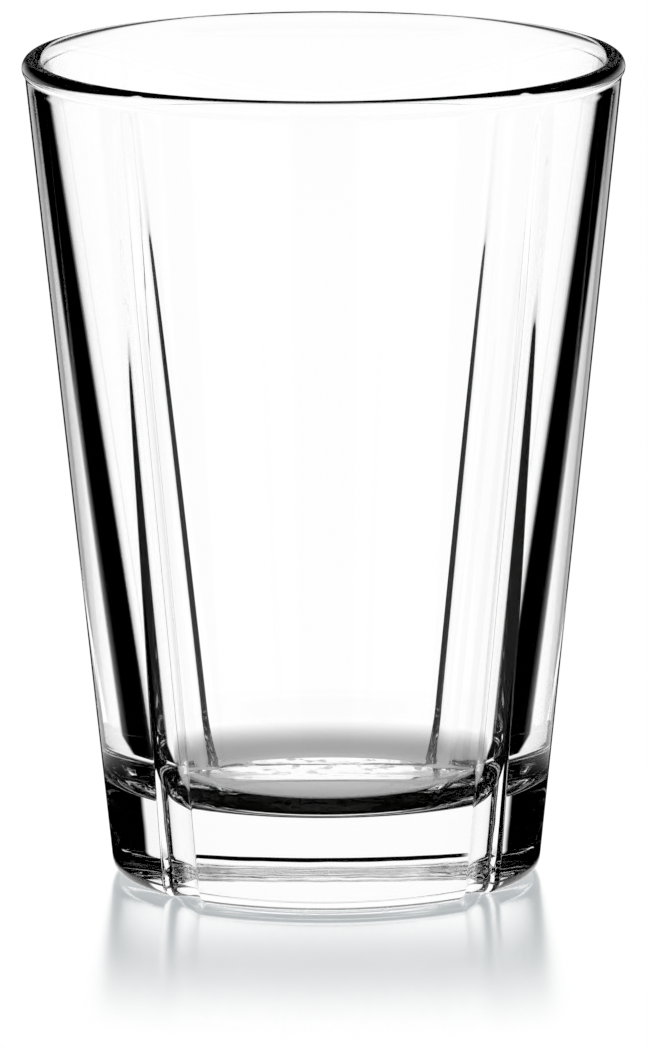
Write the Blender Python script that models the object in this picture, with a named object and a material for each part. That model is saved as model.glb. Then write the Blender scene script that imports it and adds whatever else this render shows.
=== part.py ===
"""Water tumbler in clear pressed glass, standing on the XY plane with its axis on Z.

The glass is one piece, as it comes out of the mould: a tapered wall with a rounded lip, a thick
base with a hollowed floor and a dished underside, and four round flutes down the outside that are
deepest at the table and run out below the lip. Lengths are in metres, angles in degrees.
"""
import math

import bmesh
import bpy
from mathutils import Matrix, Vector

# Outside of the glass
HEIGHT = 0.100            # table to the top of the lip
RIM_RADIUS = 0.03635      # widest point of the lip
FOOT_RADIUS = 0.02575     # tapered wall, carried straight down to the table
HEEL_RADIUS = 0.0020      # rounding where the wall turns under
BEAD_PROUD = 0.0003       # how far the fire-polished lip stands out of the wall
BEAD_FILLET = 0.0006      # hollow under the lip, where it runs into the wall

# Wall and base
RIM_WALL = 0.00225        # wall just under the lip
FOOT_WALL = 0.0062        # wall at the level of the floor
BASE_THICKNESS = 0.0107   # table to the level where the floor's corner starts
FLOOR_DISH = 0.0005       # how much lower the hollowed floor lies on the axis
FLOOR_CORNER = 0.0070     # rounding between the floor and the inside of the wall

# Underside: a flat ring rests on the table, round a shallow dish
REST_INNER_RADIUS = 0.0145
DISH_DEPTH = 0.0008

# Flutes pressed into the outside
FLUTE_COUNT = 4
FLUTE_START_ANGLE = 45.0  # first flute, from +X towards +Y
FLUTE_RADIUS = 0.0037     # round section of the mould's rib
FLUTE_DEPTH = 0.0017      # into the wall, at the table
FLUTE_BELOW_RIM = 0.0060  # from the lip down to where a flute runs out
RIB_OVERRUN = 0.0015      # how far the mould's rib goes on past both ends of its flute

# Fineness of the round faces
TURN_STEPS = 96
ARC_STEP = 15.0           # degrees of a corner for each of its segments
CAP_RINGS = 5             # rings of the hollowed floor and of the dish underneath
RIB_SIDES = 72

# What follows from these
LIP_RADIUS = (RIM_WALL + BEAD_PROUD) / 2
LIP_HEIGHT = HEIGHT - LIP_RADIUS          # level of the lip's centre
LIP_CENTRE = RIM_RADIUS - LIP_RADIUS      # radius of the lip's centre line
OUTER_SLOPE = (RIM_RADIUS - BEAD_PROUD - FOOT_RADIUS) / LIP_HEIGHT


def outer_radius(z):
    """Radius of the plain tapered outside at height z."""
    return FOOT_RADIUS + OUTER_SLOPE * z


# The inside of the wall rises from the floor's level to touch the lip's circle
INNER_FOOT = outer_radius(BASE_THICKNESS) - FOOT_WALL
FOOT_TO_LIP = (LIP_CENTRE - INNER_FOOT, LIP_HEIGHT - BASE_THICKNESS)
INNER_SLOPE = math.tan(math.atan2(*FOOT_TO_LIP) - math.asin(LIP_RADIUS / math.hypot(*FOOT_TO_LIP)))


def arc(centre, radius, start, end):
    """Points along an arc in the profile plane, both ends included; angles from +X."""
    steps = max(2, round(abs(end - start) / ARC_STEP))
    angles = [math.radians(start + (end - start) * i / steps) for i in range(steps + 1)]
    return [(centre[0] + radius * math.cos(a), centre[1] + radius * math.sin(a)) for a in angles]


def cap(sphere, half_angle, pole_z, rise):
    """Rings of a shallow cap of a sphere from its pole outwards; it climbs for rise 1, drops for -1."""
    angles = [math.radians(half_angle * i / CAP_RINGS) for i in range(CAP_RINGS + 1)]
    return [(sphere * math.sin(a), pole_z + rise * sphere * (1 - math.cos(a))) for a in angles]


def glass_profile():
    """Half section from the middle of the floor, up the inside, over the lip and down to the dish."""
    inner_lean = math.degrees(math.atan(INNER_SLOPE))
    outer_lean = math.degrees(math.atan(OUTER_SLOPE))

    # The floor's corner touches the hollowed floor and the leaning inside of the wall
    corner_z = BASE_THICKNESS + FLOOR_CORNER
    corner_r = INNER_FOOT + INNER_SLOPE * FLOOR_CORNER - FLOOR_CORNER / math.cos(math.radians(inner_lean))
    floor_reach = (corner_r ** 2 + FLOOR_DISH ** 2) / (2 * FLOOR_DISH)
    floor_half = math.degrees(math.asin(corner_r / floor_reach))
    points = cap(floor_reach + FLOOR_CORNER, floor_half, BASE_THICKNESS - FLOOR_DISH, 1)
    points += arc((corner_r, corner_z), FLOOR_CORNER, floor_half - 90.0, -inner_lean)[1:]

    # The lip's circle leaves the inside of the wall smoothly and meets the outside over a small hollow
    hollow_reach = LIP_RADIUS + BEAD_FILLET
    hollow_out = BEAD_FILLET + (LIP_RADIUS - BEAD_PROUD) * math.cos(math.radians(outer_lean))
    lip_end = -outer_lean - math.degrees(math.acos(hollow_out / hollow_reach))
    points += arc((LIP_CENTRE, LIP_HEIGHT), LIP_RADIUS, 180.0 - inner_lean, lip_end)
    hollow_r = LIP_CENTRE + hollow_reach * math.cos(math.radians(lip_end))
    hollow_z = LIP_HEIGHT + hollow_reach * math.sin(math.radians(lip_end))
    points += arc((hollow_r, hollow_z), BEAD_FILLET, 180.0 + lip_end, 180.0 - outer_lean)[1:]

    # The heel touches the leaning outside and the table
    heel_r = outer_radius(HEEL_RADIUS) - HEEL_RADIUS / math.cos(math.radians(outer_lean))
    points += arc((heel_r, HEEL_RADIUS), HEEL_RADIUS, -outer_lean, -90.0)

    # The dish is part of a sphere that rises from the resting ring to the axis
    dish_sphere = (REST_INNER_RADIUS ** 2 + DISH_DEPTH ** 2) / (2 * DISH_DEPTH)
    dish_half = math.degrees(math.asin(REST_INNER_RADIUS / dish_sphere))
    points += reversed(cap(dish_sphere, dish_half, DISH_DEPTH, -1))
    return points


def turned(name, profile):
    """Object made by turning a half section once round Z."""
    mesh = bpy.data.meshes.new(name)
    bm = bmesh.new()
    verts = [bm.verts.new((r, 0.0, z)) for r, z in profile]
    edges = [bm.edges.new(pair) for pair in zip(verts, verts[1:])]
    bmesh.ops.spin(bm, geom=verts + edges, cent=(0, 0, 0), axis=(0, 0, 1), angle=math.tau,
                   steps=TURN_STEPS, use_merge=True)
    bmesh.ops.remove_doubles(bm, verts=bm.verts, dist=1e-7)
    bmesh.ops.recalc_face_normals(bm, faces=bm.faces)
    bm.to_mesh(mesh)
    bm.free()
    obj = bpy.data.objects.new(name, mesh)
    bpy.context.collection.objects.link(obj)
    return obj


def mould_ribs(name):
    """The mould's ribs that press the flutes: round bars that lean out a little more than the wall."""
    run_out = HEIGHT - FLUTE_BELOW_RIM
    lean = (outer_radius(run_out) - outer_radius(0.0) + FLUTE_DEPTH) / run_out
    tilt = math.atan(lean)
    low, high = -RIB_OVERRUN, run_out + RIB_OVERRUN
    axis_at_table = outer_radius(0.0) - FLUTE_DEPTH + FLUTE_RADIUS / math.cos(tilt)
    middle = (low + high) / 2

    mesh = bpy.data.meshes.new(name)
    bm = bmesh.new()
    for i in range(FLUTE_COUNT):
        turn = math.radians(FLUTE_START_ANGLE + 360.0 * i / FLUTE_COUNT)
        place = (Matrix.Rotation(turn, 4, "Z")
                 @ Matrix.Translation(Vector((axis_at_table + lean * middle, 0.0, middle)))
                 @ Matrix.Rotation(tilt, 4, "Y"))
        bmesh.ops.create_cone(bm, cap_ends=True, segments=RIB_SIDES, radius1=FLUTE_RADIUS,
                              radius2=FLUTE_RADIUS, depth=(high - low) / math.cos(tilt), matrix=place)
    bm.to_mesh(mesh)
    bm.free()
    obj = bpy.data.objects.new(name, mesh)
    obj.hide_render = True
    obj.display_type = "WIRE"
    bpy.context.collection.objects.link(obj)
    return obj


def clear_glass():
    """Colourless soda-lime glass."""
    material = bpy.data.materials.new("clear_glass")
    material.use_nodes = True
    shader = material.node_tree.nodes["Principled BSDF"]
    shader.inputs["Base Color"].default_value = (0.98, 0.99, 0.985, 1.0)
    shader.inputs["Roughness"].default_value = 0.02
    shader.inputs["Metallic"].default_value = 0.0
    shader.inputs["IOR"].default_value = 1.52
    shader.inputs["Transmission Weight"].default_value = 1.0
    return material


# Start from an empty scene
for old in list(bpy.data.objects):
    bpy.data.objects.remove(old, do_unlink=True)

# The glass: turned body, then the ribs pressed into its outside
tumbler = turned("tumbler", glass_profile())
ribs = mould_ribs("flute_ribs")
press = tumbler.modifiers.new("flutes", "BOOLEAN")
press.operation = "DIFFERENCE"
press.solver = "EXACT"
press.object = ribs
with bpy.context.temp_override(object=tumbler, active_object=tumbler, selected_objects=[tumbler]):
    bpy.ops.object.modifier_apply(modifier=press.name)
tumbler.data.materials.clear()
tumbler.data.materials.append(clear_glass())
tumbler.data.shade_smooth()
tumbler.data.set_sharp_from_angle(angle=math.radians(12.0))
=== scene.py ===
"""Water glass in clear pressed glass: the dressed part, the glossy table it stands on and its studio."""
import math

import bpy
import numpy as np
from mathutils import Matrix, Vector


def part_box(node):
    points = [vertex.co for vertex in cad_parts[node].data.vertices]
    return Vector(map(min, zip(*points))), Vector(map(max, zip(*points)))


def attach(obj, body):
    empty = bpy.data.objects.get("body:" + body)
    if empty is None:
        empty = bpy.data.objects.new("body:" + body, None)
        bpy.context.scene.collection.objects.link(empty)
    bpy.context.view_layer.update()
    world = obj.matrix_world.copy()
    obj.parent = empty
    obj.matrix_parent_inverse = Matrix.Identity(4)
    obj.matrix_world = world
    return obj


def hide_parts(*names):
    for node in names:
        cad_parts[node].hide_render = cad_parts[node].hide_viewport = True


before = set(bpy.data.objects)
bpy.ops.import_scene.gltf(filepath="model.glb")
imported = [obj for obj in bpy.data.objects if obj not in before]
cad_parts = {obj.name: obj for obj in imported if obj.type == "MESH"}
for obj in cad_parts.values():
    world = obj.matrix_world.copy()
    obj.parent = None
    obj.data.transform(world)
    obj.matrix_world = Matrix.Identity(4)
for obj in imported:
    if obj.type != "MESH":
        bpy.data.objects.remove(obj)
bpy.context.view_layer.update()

# The tumbler: one pressing of clear glass. The plunger leaves a plain tapered bowl, the mould a steeper
# outside with four round flutes that are deepest at the table and fade out below the lip. Fire-polishing
# rounds the lip and softens the edges of the flutes; the resting ring is scuffed by use.
low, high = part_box("tumbler")
HEIGHT = high.z - low.z
RIM_RADIUS = high.x
FOOT_RADIUS = 0.02575
HEEL_RADIUS = 0.0020
BEAD_PROUD = 0.0003
BEAD_FILLET = 0.0006
RIM_WALL = 0.00225
FOOT_WALL = 0.0062
BASE_THICKNESS = 0.0107
FLOOR_DISH = 0.0005
FLOOR_CORNER = 0.007
REST_INNER_RADIUS = 0.0145
DISH_DEPTH = 0.0008
FLUTE_RADIUS = 0.0037
FLUTE_DEPTH = 0.0017
FLUTE_BELOW_RIM = 0.0060
FLUTE_EDGE_SOFTNESS = 0.0001
FLUTE_END_SOFTNESS = 0.0006
FLUTE_FADE = (0.062, 0.088)
FLUTE_LEAST_ANGLE = math.radians(1.0)
FLUTE_STEPS = 33
PANEL_STEPS = 25
PANEL_GROWTH = 1.7

LIP_RADIUS = (RIM_WALL + BEAD_PROUD) / 2
LIP_HEIGHT = HEIGHT - LIP_RADIUS
LIP_CENTRE = RIM_RADIUS - LIP_RADIUS
OUTER_SLOPE = (RIM_RADIUS - BEAD_PROUD - FOOT_RADIUS) / LIP_HEIGHT
OUTER_LEAN = math.atan(OUTER_SLOPE)
INNER_FOOT = FOOT_RADIUS + OUTER_SLOPE * BASE_THICKNESS - FOOT_WALL
INNER_RUN = math.hypot(LIP_CENTRE - INNER_FOOT, LIP_HEIGHT - BASE_THICKNESS)
INNER_LEAN = (math.atan2(LIP_CENTRE - INNER_FOOT, LIP_HEIGHT - BASE_THICKNESS)
              - math.asin(LIP_RADIUS / INNER_RUN))


def arc(centre, radius, start, end, count):
    """Points on a circle in the half section: centre plus radius times the cosine and sine of an even
    run of angles."""
    a = np.radians(np.linspace(start, end, count))
    return np.stack([centre[0] + radius * np.cos(a), centre[1] + radius * np.sin(a)], axis=1)


def line(start, end, count):
    """Points strictly between two ends of a straight stretch of the half section."""
    t = np.linspace(0, 1, count + 2)[1:-1, None]
    return np.asarray(start) * (1 - t) + np.asarray(end) * t


def half_section():
    """Radius and height along the section, from the floor's middle over the lip to the dish's middle, and
    the share of a flute's depth that each point takes: all on the outside, fading over the resting ring."""
    inner_lean = math.degrees(INNER_LEAN)
    outer_lean = math.degrees(OUTER_LEAN)
    corner_r = INNER_FOOT + math.tan(INNER_LEAN) * FLOOR_CORNER - FLOOR_CORNER / math.cos(INNER_LEAN)
    floor_reach = (corner_r ** 2 + FLOOR_DISH ** 2) / (2 * FLOOR_DISH)
    floor_rise = math.degrees(math.asin(corner_r / floor_reach))
    floor_sphere = floor_reach + FLOOR_CORNER
    floor = arc((0, BASE_THICKNESS - FLOOR_DISH + floor_sphere), floor_sphere, -90, floor_rise - 90,
                count=24)
    corner = arc((corner_r, BASE_THICKNESS + FLOOR_CORNER), FLOOR_CORNER, floor_rise - 90, -inner_lean,
                 count=40)
    wall_gap = (RIM_RADIUS - BEAD_PROUD - LIP_CENTRE) * math.cos(OUTER_LEAN)
    under_bead = math.sqrt((LIP_RADIUS + BEAD_FILLET) ** 2 - (BEAD_FILLET + wall_gap) ** 2)
    bead_end = -outer_lean - math.degrees(math.atan2(under_bead, BEAD_FILLET + wall_gap))
    bead = arc((LIP_CENTRE, LIP_HEIGHT), LIP_RADIUS, 180 - inner_lean, bead_end, count=56)
    turn_in = math.radians(bead_end)
    fillet_centre = (LIP_CENTRE + (LIP_RADIUS + BEAD_FILLET) * math.cos(turn_in),
                     LIP_HEIGHT + (LIP_RADIUS + BEAD_FILLET) * math.sin(turn_in))
    fillet = arc(fillet_centre, BEAD_FILLET, 180 + bead_end, 180 - outer_lean, count=12)
    lip = np.concatenate([bead, fillet[1:]])
    heel_centre = FOOT_RADIUS + OUTER_SLOPE * HEEL_RADIUS - HEEL_RADIUS / math.cos(OUTER_LEAN)
    heel = arc((heel_centre, HEEL_RADIUS), HEEL_RADIUS, -outer_lean, -90, count=24)
    dish_sphere = (REST_INNER_RADIUS ** 2 + DISH_DEPTH ** 2) / (2 * DISH_DEPTH)
    dish_half = math.degrees(math.asin(REST_INNER_RADIUS / dish_sphere))
    dish = arc((0, DISH_DEPTH - dish_sphere), dish_sphere, 90 - dish_half, 90, count=14)
    inside = np.concatenate([floor, corner[1:], line(corner[-1], lip[0], count=40), lip])
    outside = np.concatenate([line(lip[-1], heel[0], count=90), heel])
    under = np.concatenate([line(heel[-1], dish[0], count=8), dish])
    points = np.concatenate([inside, outside, under])
    points[0, 0] = points[-1, 0] = 0.0
    ring_share = np.clip((under[:, 0] - REST_INNER_RADIUS) / (heel[-1, 0] - REST_INNER_RADIUS), 0, 1)
    share = np.concatenate([np.zeros(len(inside)), np.ones(len(outside)), ring_share])
    return points[:, 0], points[:, 1], share


def flute_axis(z):
    """Distance of the mould's round rib from the glass's axis: it leans out a little more than the wall."""
    run_out = HEIGHT - FLUTE_BELOW_RIM
    return FOOT_RADIUS - FLUTE_DEPTH + FLUTE_RADIUS + (OUTER_SLOPE + FLUTE_DEPTH / run_out) * z


def flute_half_angle(z):
    """Half the angle that a flute takes up at height z, from the triangle of wall, rib and axis."""
    wall, rib = FOOT_RADIUS + OUTER_SLOPE * z, flute_axis(z)
    cosine = (wall ** 2 + rib ** 2 - FLUTE_RADIUS ** 2) / (2 * wall * rib)
    return np.maximum(np.arccos(np.clip(cosine, -1, 1)), FLUTE_LEAST_ANGLE)


def flute_turns(z):
    """Angles round the glass for each height, one quarter per flute: even steps inside a flute, then
    steps that grow from its edge to the middle of the panel, so that grid lines follow the edges."""
    inside = np.sin(np.linspace(-0.5, 0.5, FLUTE_STEPS) * math.pi)
    panel = np.linspace(0, 1, PANEL_STEPS + 1)[1:] ** PANEL_GROWTH
    half = flute_half_angle(z)[:, None]
    right = half + (math.pi / 4 - half) * panel
    quarter = np.concatenate([-right[:, -2::-1], half * inside, right], axis=1)
    return np.concatenate([quarter + math.pi / 4 + math.pi / 2 * k for k in range(4)], axis=1)


def pressed(radius, z, turn):
    """Radius after pressing: the lesser of the turned radius and the rib's round face, blended where the
    two meet over a softness that grows towards the flute's upper end."""
    off = (turn % (math.pi / 2)) - math.pi / 4
    rib = flute_axis(z)[:, None]
    reach = FLUTE_RADIUS ** 2 - (rib * np.sin(off)) ** 2
    face = np.where(reach > 0, rib * np.cos(off) - np.sqrt(np.maximum(reach, 0)), rib)
    fade = np.clip((z - FLUTE_FADE[0]) / (FLUTE_FADE[1] - FLUTE_FADE[0]), 0, 1)[:, None]
    soft = FLUTE_EDGE_SOFTNESS + (FLUTE_END_SOFTNESS - FLUTE_EDGE_SOFTNESS) * fade ** 2 * (3 - 2 * fade)
    h = np.clip(0.5 + 0.5 * (face - radius[:, None]) / soft, 0, 1)
    return face * (1 - h) + radius[:, None] * h - soft * h * (1 - h)


def turned_mesh(name, x, y, z, top, bottom):
    """Closed mesh from rows of points round the axis, with a fan to a pole at either end."""
    rows, cols = x.shape
    verts = np.concatenate([np.stack([x, y, z], axis=2).reshape(-1, 3), [top, bottom]])
    i, j = np.meshgrid(np.arange(rows - 1), np.arange(cols), indexing="ij")
    k = (j + 1) % cols
    quads = np.stack([(i + 1) * cols + j, (i + 1) * cols + k, i * cols + k, i * cols + j], axis=2)
    j = np.arange(cols)
    k = (j + 1) % cols
    first = np.stack([j, k, np.full(cols, rows * cols)], axis=1)
    last = np.stack([(rows - 1) * cols + k, (rows - 1) * cols + j, np.full(cols, rows * cols + 1)], axis=1)
    mesh = bpy.data.meshes.new(name)
    mesh.from_pydata(verts.tolist(), [], quads.reshape(-1, 4).tolist() + first.tolist() + last.tolist())
    mesh.polygons.foreach_set("use_smooth", np.ones(len(mesh.polygons), bool))
    mesh.update()
    piece = bpy.data.objects.new(name, mesh)
    bpy.context.scene.collection.objects.link(piece)
    return piece


radius, height, share = half_section()
turn = flute_turns(height)
wall = FOOT_RADIUS + OUTER_SLOPE * height
depth = np.maximum(wall[:, None] - pressed(wall, height, turn), 0) * share[:, None]
shaped = (radius[:, None] - depth)[1:-1]
turn = turn[1:-1]
level_rows = np.broadcast_to(height[1:-1, None], turn.shape)
tumbler = turned_mesh("pressed_tumbler", shaped * np.cos(turn), shaped * np.sin(turn), level_rows,
                      (0, 0, height[0]), (0, 0, height[-1]))


def graph(tree):
    """Small builders for a node tree: put feeds a socket, calc is a Math node, ramp a smooth step."""
    tree.nodes.clear()

    def put(socket, value):
        if isinstance(value, (int, float)):
            socket.default_value = value
        else:
            tree.links.new(value, socket)

    def calc(operation, *values):
        node = tree.nodes.new("ShaderNodeMath")
        node.operation = operation
        for socket, value in zip(node.inputs, values):
            put(socket, value)
        return node.outputs[0]

    def ramp(value, start, end, low=0.0, high=1.0):
        node = tree.nodes.new("ShaderNodeMapRange")
        node.interpolation_type = "SMOOTHSTEP"
        put(node.inputs["Value"], value)
        for name, number in zip(("From Min", "From Max", "To Min", "To Max"), (start, end, low, high)):
            node.inputs[name].default_value = number
        return node.outputs[0]

    return put, calc, ramp


def speckle(tree, place, scale, detail):
    """Noise value at a place on the glass."""
    noise = tree.nodes.new("ShaderNodeTexNoise")
    noise.inputs["Scale"].default_value = scale
    noise.inputs["Detail"].default_value = detail
    tree.links.new(place, noise.inputs["Vector"])
    return noise.outputs[0]


GLASS_INDEX = 1.52
GLASS_TINT = (0.3, 0.3, 0.3, 1.0)
SCUFF_SCALE = 420.0
SCUFF_EDGE = (0.52, 0.64)
SCUFF_RISE = (0.0001, 0.0006)
SCUFF_ROUGHNESS = 0.35
RIPPLE_SCALE = 260.0
RIPPLE_RISE = (0.004, 0.007)
RIPPLE_STRENGTH = 0.05
RIPPLE_HEIGHT = 0.0004

marks = bpy.data.node_groups.new("foot_marks", "ShaderNodeTree")
marks.interface.new_socket("Roughness", in_out="OUTPUT", socket_type="NodeSocketFloat")
marks.interface.new_socket("Normal", in_out="OUTPUT", socket_type="NodeSocketVector")
put, calc, ramp = graph(marks)
place = marks.nodes.new("ShaderNodeTexCoord").outputs["Object"]
axes = marks.nodes.new("ShaderNodeSeparateXYZ")
marks.links.new(place, axes.inputs[0])
scuffs = ramp(speckle(marks, place, SCUFF_SCALE, detail=4.0), *SCUFF_EDGE)
worn = calc("MULTIPLY", scuffs, ramp(axes.outputs["Z"], *SCUFF_RISE, 1, 0))
waves = speckle(marks, place, RIPPLE_SCALE, detail=1.0)
ripple = calc("MULTIPLY", waves, ramp(axes.outputs["Z"], *RIPPLE_RISE, 1, 0))
bump = marks.nodes.new("ShaderNodeBump")
bump.inputs["Strength"].default_value = RIPPLE_STRENGTH
bump.inputs["Distance"].default_value = RIPPLE_HEIGHT
put(bump.inputs["Height"], ripple)
group_out = marks.nodes.new("NodeGroupOutput")
put(group_out.inputs["Roughness"], calc("MULTIPLY", worn, SCUFF_ROUGHNESS))
put(group_out.inputs["Normal"], bump.outputs["Normal"])

glass = bpy.data.materials.new("clear_pressed_glass")
glass.use_nodes = True
shader = glass.node_tree.nodes["Principled BSDF"]
shader.inputs["Base Color"].default_value = (1.0, 1.0, 1.0, 1.0)
shader.inputs["IOR"].default_value = GLASS_INDEX
shader.inputs["Transmission Weight"].default_value = 1.0
shader.inputs["Specular Tint"].default_value = GLASS_TINT
foot_marks = glass.node_tree.nodes.new("ShaderNodeGroup")
foot_marks.node_tree = marks
glass.node_tree.links.new(foot_marks.outputs["Roughness"], shader.inputs["Roughness"])
glass.node_tree.links.new(foot_marks.outputs["Normal"], shader.inputs["Normal"])
tumbler.data.materials.append(glass)
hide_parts("tumbler")
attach(tumbler, "root")

# The table: a white glossy sheet, wide enough for every view. It gives off most of its own white, mirrors
# the foot softly and a little blue, and the mirror dies away from the glass, where it is plain white.
TABLE_HALF = 3.0
TABLE_DROP = 0.00005
TABLE_GLOW = (0.43, 0.46, 0.475, 1.0)
MIRROR_COLOUR = (0.62, 0.59, 0.575, 1.0)
MIRROR_ROUGHNESS = 0.2
MIRROR_FADE = (0.045, 0.100)
MIRROR_SPREAD = (1.35, 1.0, 0.0)


def stage_sheet(name, corners, faces, *rays):
    """Stage mesh from its corners and faces, seen only by the named kinds of ray if any are named."""
    mesh = bpy.data.meshes.new(name)
    mesh.from_pydata(np.asarray(corners).tolist(), [], np.asarray(faces).tolist())
    sheet = bpy.data.objects.new(name, mesh)
    bpy.context.scene.collection.objects.link(sheet)
    for ray in ("camera", "diffuse", "glossy", "transmission", "shadow"):
        setattr(sheet, "visible_" + ray, ray in rays)
    return sheet


def stage_material(sheet, name):
    """Empty material for a stage sheet, with the builders of its node tree."""
    material = bpy.data.materials.new(name)
    material.use_nodes = True
    sheet.data.materials.append(material)
    return (material.node_tree,) + graph(material.node_tree)


def distance(tree, spread=(1.0, 1.0, 0.0)):
    """Distance over the table from the middle of the glass, stretched by spread."""
    scale = tree.nodes.new("ShaderNodeVectorMath")
    scale.operation = "MULTIPLY"
    scale.inputs[1].default_value = spread
    tree.links.new(tree.nodes.new("ShaderNodeTexCoord").outputs["Object"], scale.inputs[0])
    length = tree.nodes.new("ShaderNodeVectorMath")
    length.operation = "LENGTH"
    tree.links.new(scale.outputs[0], length.inputs[0])
    return length.outputs["Value"]


def mixed(tree, put, share, first, second):
    """Surface that goes from the first shader to the second by a share."""
    mix = tree.nodes.new("ShaderNodeMixShader")
    put(mix.inputs[0], share)
    tree.links.new(first.outputs[0], mix.inputs[1])
    tree.links.new(second.outputs[0], mix.inputs[2])
    tree.links.new(mix.outputs[0], tree.nodes.new("ShaderNodeOutputMaterial").inputs["Surface"])


square = np.array([(-1, -1), (1, -1), (1, 1), (-1, 1)]) * TABLE_HALF
table = stage_sheet("glossy_table", np.column_stack([square, np.full(4, -TABLE_DROP)]), [(0, 1, 2, 3)],
                    "camera", "diffuse", "shadow")
tree, put, calc, ramp = stage_material(table, "white_gloss")
plain = tree.nodes.new("ShaderNodeEmission")
glow = tree.nodes.new("ShaderNodeEmission")
glow.inputs["Color"].default_value = TABLE_GLOW
mirror = tree.nodes.new("ShaderNodeBsdfGlossy")
mirror.inputs["Roughness"].default_value = MIRROR_ROUGHNESS
mirror.inputs["Color"].default_value = MIRROR_COLOUR
gloss = tree.nodes.new("ShaderNodeAddShader")
tree.links.new(glow.outputs[0], gloss.inputs[0])
tree.links.new(mirror.outputs[0], gloss.inputs[1])
mixed(tree, put, ramp(distance(tree, MIRROR_SPREAD), *MIRROR_FADE), gloss, plain)

# Two round sheets lie on the table for the light in the glass alone: a grey one under the foot, a painted
# shadow of the glass that the floor and base look down on, and a dark one round it, a painted dark
# reflection that only the outside of the base mirrors, with a white middle under the foot.
# Shades and clear edges are smooth steps: the distances where they start and end, and the levels there
UNDER_RADIUS = 0.050
UNDER_DROP = 0.0001
UNDER_SHADE = (0.030, 0.050, 0.36, 1.0)
UNDER_CLEAR = (0.038, 0.046, 0.0, 1.0)
NEAR_RADIUS = 0.085
NEAR_DROP = 0.0002
NEAR_WHITE = (0.027, 0.029, 1.0, 0.0)
NEAR_CLEAR = (0.062, 0.085, 0.0, 1.0)
ROUND_COUNT = 128
ROUND = np.linspace(0, 2 * math.pi, ROUND_COUNT + 1)[:-1]
CIRCLE = np.stack([np.cos(ROUND), np.sin(ROUND)], axis=1)


def round_sheet(name, radius, drop, ray):
    """Flat disc of the given radius at a small drop under the table's height, seen by one kind of ray."""
    corners = np.column_stack([CIRCLE * radius, np.full(ROUND_COUNT, -drop)])
    return stage_sheet(name, corners, [range(ROUND_COUNT)], ray)


under = round_sheet("painted_shadow_under_foot", UNDER_RADIUS, UNDER_DROP, "transmission")
tree, put, calc, ramp = stage_material(under, "painted_shadow_sheet")
thrown_back = calc("GREATER_THAN", tree.nodes.new("ShaderNodeLightPath").outputs["Glossy Depth"], 0.5)
away = distance(tree)
shadow_glow = tree.nodes.new("ShaderNodeEmission")
shadow_glow.inputs["Color"].default_value = (1, 1, 1, 1)
# Painted shadow: the sheet glows at 0.36 under the foot and at full white from its edge, and light thrown
# back in the glass sees it black up to where it turns clear
shade = ramp(away, *UNDER_SHADE)
put(shadow_glow.inputs["Strength"], calc("MULTIPLY", shade, calc("SUBTRACT", 1.0, thrown_back)))
mixed(tree, put, calc("MULTIPLY", thrown_back, ramp(away, *UNDER_CLEAR)), shadow_glow,
      tree.nodes.new("ShaderNodeBsdfTransparent"))

# Painted reflection: the outside of the base mirrors this sheet alone, white under the foot and dark round
# it, though the table there looks white
reflection_sheet = round_sheet("painted_reflection_round_foot", NEAR_RADIUS, NEAR_DROP, "glossy")
tree, put, calc, ramp = stage_material(reflection_sheet, "painted_reflection_sheet")
away = distance(tree)
reflection_glow = tree.nodes.new("ShaderNodeEmission")
put(reflection_glow.inputs["Strength"], ramp(away, *NEAR_WHITE))
mixed(tree, put, ramp(away, *NEAR_CLEAR), reflection_glow, tree.nodes.new("ShaderNodeBsdfTransparent"))

# Clear films close to the glass, which only tell the studio where light met it: one round the bead, for
# the light that leaves through the lip, and one along the heel of either side panel, for the light that
# enters there.
FILM_GAP = 0.0002
BEAD_FILM = (HEIGHT - 0.0033, HEIGHT + 0.0003)
HEEL_FILM = (0.0, 0.0050)
HEEL_FILM_HALF = math.radians(43)
HEEL_FILM_STEPS = 33


def film(name, radii, heights, turns, closed, *rays):
    """Clear band between two rings of the given radii and heights, over a run of turns."""
    count = len(turns)
    ring = np.stack([np.cos(turns), np.sin(turns)], axis=1)
    rings = [np.column_stack([ring * r, np.full(count, z)]) for r, z in zip(radii, heights)]
    corners = np.concatenate(rings)
    j = np.arange(count if closed else count - 1)
    k = (j + 1) % count
    band = stage_sheet(name, corners, np.stack([j, k, k + count, j + count], axis=1), *rays)
    tree = stage_material(band, name)[0]
    clear = tree.nodes.new("ShaderNodeBsdfTransparent")
    tree.links.new(clear.outputs[0], tree.nodes.new("ShaderNodeOutputMaterial").inputs["Surface"])


film("film_round_bead", (RIM_RADIUS + FILM_GAP,) * 2, BEAD_FILM, ROUND, True, "camera", "transmission")
heel_radii = [FOOT_RADIUS + OUTER_SLOPE * z + FILM_GAP for z in HEEL_FILM]
for name, middle in (("film_at_right_heel", 0.0), ("film_at_left_heel", math.pi)):
    turns = np.linspace(middle - HEEL_FILM_HALF, middle + HEEL_FILM_HALF, HEEL_FILM_STEPS)
    film(name, heel_radii, HEEL_FILM, turns, False, "camera")

# The studio: white all round, but dark for part of the light, by its direction and by how often it was
# thrown back in the glass. No real cloth tells such light apart: these limits, in degrees, are a stand-in
# that was fitted to the black bands as seen from the front. Most light straight through meets white.
STUDIO_TURN = 2.0
# A leaning edge is its angle to the side, the lean per degree down, the height it is given at, its softness
FRONT_CLOTH = ((16.0, 4.2, -16.8, 1.0), (42.0, 5.0, -19.8, 1.5))
SIDE_CLOTH = ((46.0, 8.5, -19.0, 1.5), (77.0, -2.5, -15.5, 1.5))
LOW_CLOTH_END = (20.0, 5.5, -22.5, 2.0)
LIP_CLOTH = ((5.0, 0.62, -24.5, 2.5), (82.0, -0.62, -24.5, 2.5))
SKIN_CLOTH = ((32.0, 6.1, -12.9, 1.5), (54.0, 5.5, -14.5, 1.5))
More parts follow.
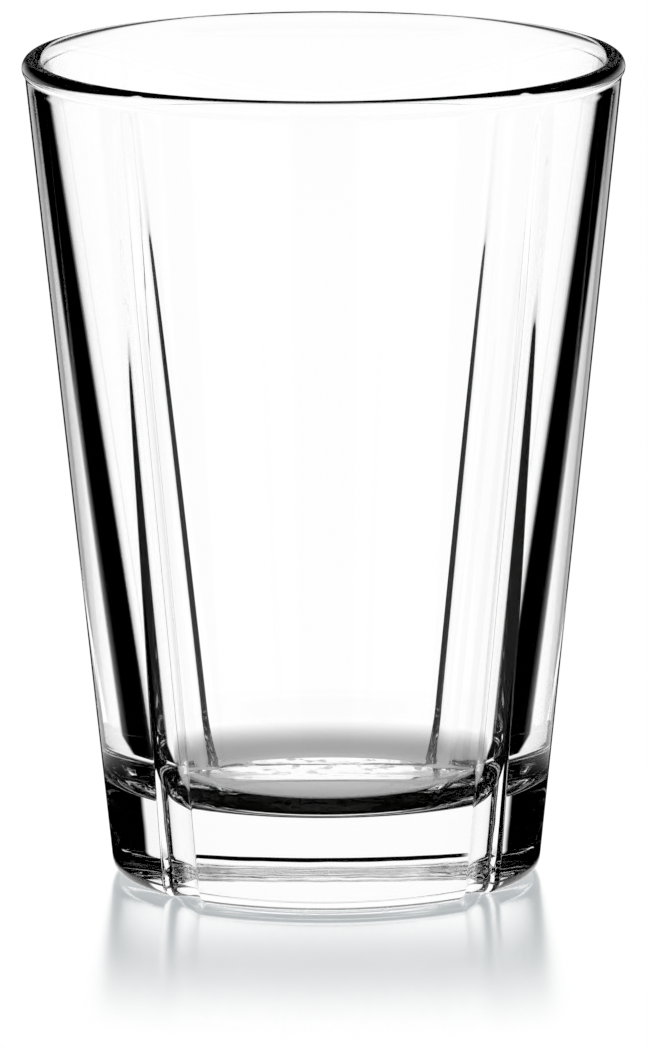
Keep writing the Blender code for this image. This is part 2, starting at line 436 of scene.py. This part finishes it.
# Heights, and turns to the side
WALL_CLOTH_TOP = -8.0
FAR_WALL_RISE = 5.0
FAR_WALL_TURN = (118.0, 122.0)
PAIRS_RISE = (-8.0, 57.0)
LOW_CLOTH_TOP = -21.2
TRIPLES_RISE = (-17.5, 53.0)
GUIDED_TOP = (55.0, 2.0)
BASE_SIDE = (44.0, 46.5)
BASE_RISE = (-4.2, 0.3)
HEEL_CURVE = (0.00145, -4.77)
HEEL_SOFT = 0.1
HEEL_TOP = 5.0
HEEL_SIDE = (28.0, 32.0)
LIP_CLOTH_TOP = -21.5
LIP_LOW_CLOTH = (-59.0, 3.0)
OUTLINE_FRONT = (11.5, 14.5)
OUTLINE_SIDE = (79.0, 82.0)
SKIN_CLOTH_TOP = -8.5
LIP_LIFT = 12.0
LIP_LIFT_SIDE = (8.0, 15.0)
SHEEN_RISE = (-8.0, 11.0)
BOUNCES = 48
GLOSSY_BOUNCES = 16

world = bpy.data.worlds.new("studio")
bpy.context.scene.world = world
world.use_nodes = True
tree = world.node_tree
put, calc, ramp = graph(tree)
axes = tree.nodes.new("ShaderNodeSeparateXYZ")
tree.links.new(tree.nodes.new("ShaderNodeTexCoord").outputs["Generated"], axes.inputs[0])
path = tree.nodes.new("ShaderNodeLightPath")
mirrors = path.outputs["Glossy Depth"]
crossings = path.outputs["Transmission Depth"]
filmed = calc("GREATER_THAN", path.outputs["Transparent Depth"], 0.5)
rise = calc("DEGREES", calc("ARCSINE", axes.outputs["Z"]))
azimuth = calc("DEGREES", calc("ARCTAN2", axes.outputs["X"], axes.outputs["Y"]))
# All four quarters of the studio are alike but for the far wall: side is the angle to the nearer end of a
# line from front to back
turned_side = calc("ABSOLUTE", calc("SUBTRACT", azimuth, STUDIO_TURN))
turned_side = calc("MINIMUM", turned_side, calc("SUBTRACT", 360.0, turned_side))
side = calc("MINIMUM", turned_side, calc("SUBTRACT", 180.0, turned_side))


def both(*masks):
    """Product of masks."""
    total = masks[0]
    for mask in masks[1:]:
        total = calc("MULTIPLY", total, mask)
    return total


def either(*masks):
    """Greatest of masks."""
    total = masks[0]
    for mask in masks[1:]:
        total = calc("MAXIMUM", total, mask)
    return total


def flip(mask):
    """The rest of a mask."""
    return calc("SUBTRACT", 1.0, mask)


def beyond(start, slope, pivot, soft):
    """Mask of the light further to the side than a leaning edge: start at height pivot, slope more per
    degree down."""
    edge = calc("MULTIPLY_ADD", rise, -slope, start + slope * pivot)
    return ramp(calc("SUBTRACT", side, edge), -soft, soft)


def between(edges):
    """Mask of the light between two leaning edges."""
    return both(beyond(*edges[0]), flip(beyond(*edges[1])))


def thrown(count):
    """Mask of light that crossed into the glass and was thrown back exactly count times."""
    return both(calc("COMPARE", mirrors, float(count), 0.1), calc("GREATER_THAN", crossings, 0.5))


def above(start, soft=0.5):
    """Mask of the light from higher than a height in degrees."""
    return ramp(rise, start - soft, start + soft)


def below(start, soft=0.5):
    """Mask of the light from lower than a height in degrees."""
    return flip(above(start, soft))


# Thrown back once in the wall: two dark cloths that lean outwards towards the table
few_crossings = calc("LESS_THAN", crossings, 2.5)
wall_cloth = either(between(FRONT_CLOTH), between(SIDE_CLOTH))
band = both(thrown(1), few_crossings, below(WALL_CLOTH_TOP), wall_cloth)
far_wall = both(thrown(1), above(FAR_WALL_RISE), ramp(turned_side, *FAR_WALL_TURN))
# Thrown back more often
pairs = both(thrown(2), above(PAIRS_RISE[0]), below(PAIRS_RISE[1]))
low_cloth = both(below(LOW_CLOTH_TOP), flip(beyond(*LOW_CLOTH_END)))
triples = both(thrown(3), either(low_cloth, above(TRIPLES_RISE[0])), below(TRIPLES_RISE[1]))
guided = both(calc("GREATER_THAN", mirrors, 3.5), either(below(*GUIDED_TOP), filmed))
# Straight through solid glass: the sides of the base, the line over the far heel, and the lip
solid = both(thrown(0), few_crossings)
base_side = both(ramp(side, *BASE_SIDE), above(*BASE_RISE))
heel_line = calc("MULTIPLY_ADD", calc("MULTIPLY", side, side), *HEEL_CURVE)
over_heel = ramp(calc("SUBTRACT", rise, heel_line), -HEEL_SOFT, HEEL_SOFT)
heel_cloth = both(over_heel, below(HEEL_TOP), ramp(side, *HEEL_SIDE, 1, 0))
lip_cloth = either(both(below(LIP_CLOTH_TOP), between(LIP_CLOTH)), below(*LIP_LOW_CLOTH))
straight = both(solid, either(base_side, both(flip(filmed), heel_cloth), both(filmed, lip_cloth)))
through = flip(either(band, far_wall, pairs, triples, guided, straight))
# The outer skin mirrors white low down, less of it higher up, with a dark outline and a dark cloth
outside = calc("LESS_THAN", crossings, 0.5)
skin = both(path.outputs["Is Singular Ray"], path.outputs["Is Reflection Ray"], outside)
edge_on = either(ramp(side, *OUTLINE_FRONT, 1, 0), ramp(side, *OUTLINE_SIDE))
outline = both(edge_on, below(SKIN_CLOTH_TOP))
skin_cloth = both(between(SKIN_CLOTH), below(SKIN_CLOTH_TOP))
lip_rise = calc("MULTIPLY_ADD", ramp(side, *LIP_LIFT_SIDE, 1, 0), LIP_LIFT, rise)
sheen = both(ramp(lip_rise, *SHEEN_RISE, 1, 0), flip(outline), flip(skin_cloth))
level = calc("ADD", both(skin, sheen), both(flip(skin), through))
background = tree.nodes.new("ShaderNodeBackground")
background.inputs["Color"].default_value = (1, 1, 1, 1)
put(background.inputs["Strength"], calc("MAXIMUM", level, path.outputs["Is Camera Ray"]))
tree.links.new(background.outputs[0], tree.nodes.new("ShaderNodeOutputWorld").inputs["Surface"])
bpy.context.scene.cycles.max_bounces = BOUNCES
bpy.context.scene.cycles.transmission_bounces = BOUNCES
bpy.context.scene.cycles.glossy_bounces = GLOSSY_BOUNCES
bpy.context.scene.view_settings.view_transform = "Standard"

# The camera: a long lens nearly two metres off, tipped down to see into the mouth and square to the front
# panel to within a couple of degrees.
CAMERA_REACH = 1.899
CAMERA_HEIGHT = 0.396731
CAMERA_SIDE = -0.000148
CAMERA_TURN = math.radians(-2.05)
CAMERA_PITCH = math.radians(10.564)
CAMERA_ROLL = math.radians(-0.2155)
CAMERA_SENSOR = 36.0
CAMERA_LENS = 547.9
CAMERA_FAR = 20.0
camera_data = bpy.data.cameras.new("camera")
camera_data.sensor_fit = "VERTICAL"
camera_data.sensor_height = CAMERA_SENSOR
camera_data.lens = CAMERA_LENS
camera_data.clip_end = CAMERA_FAR
camera = bpy.data.objects.new("camera", camera_data)
bpy.context.scene.collection.objects.link(camera)
camera.matrix_world = (Matrix.Rotation(CAMERA_TURN, 4, "Z")
                       @ Matrix.Translation((CAMERA_SIDE, -CAMERA_REACH, CAMERA_HEIGHT))
                       @ Matrix.Rotation(math.pi / 2 - CAMERA_PITCH, 4, "X")
                       @ Matrix.Rotation(CAMERA_ROLL, 4, "Z"))
bpy.context.scene.camera = camera
